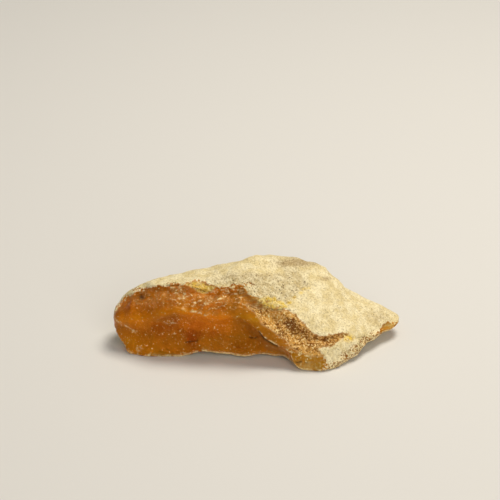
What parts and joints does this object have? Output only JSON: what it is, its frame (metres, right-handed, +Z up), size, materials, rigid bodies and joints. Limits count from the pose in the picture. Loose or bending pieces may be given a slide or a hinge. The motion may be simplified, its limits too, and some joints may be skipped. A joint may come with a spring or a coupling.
{
  "type": "copal",
  "caption": "Rough lump of clear orange-brown fossil resin with a cream weathered crust over its top and back, broken open in glassy facets along the front.",
  "frame": {"origin": "centre of the bounding box seen from above, on the floor that the lump rests on", "axes": "+X along the lump's length, from its blunt end to its pointed tip; -Y out of the broken front face; +Z up"},
  "size_m": [0.0566, 0.026, 0.0164],
  "materials": {
    "copal_resin": "satin"
  },
  "bodies": {
    "root": {"copal": "copal_resin"}
  },
  "joints": []
}
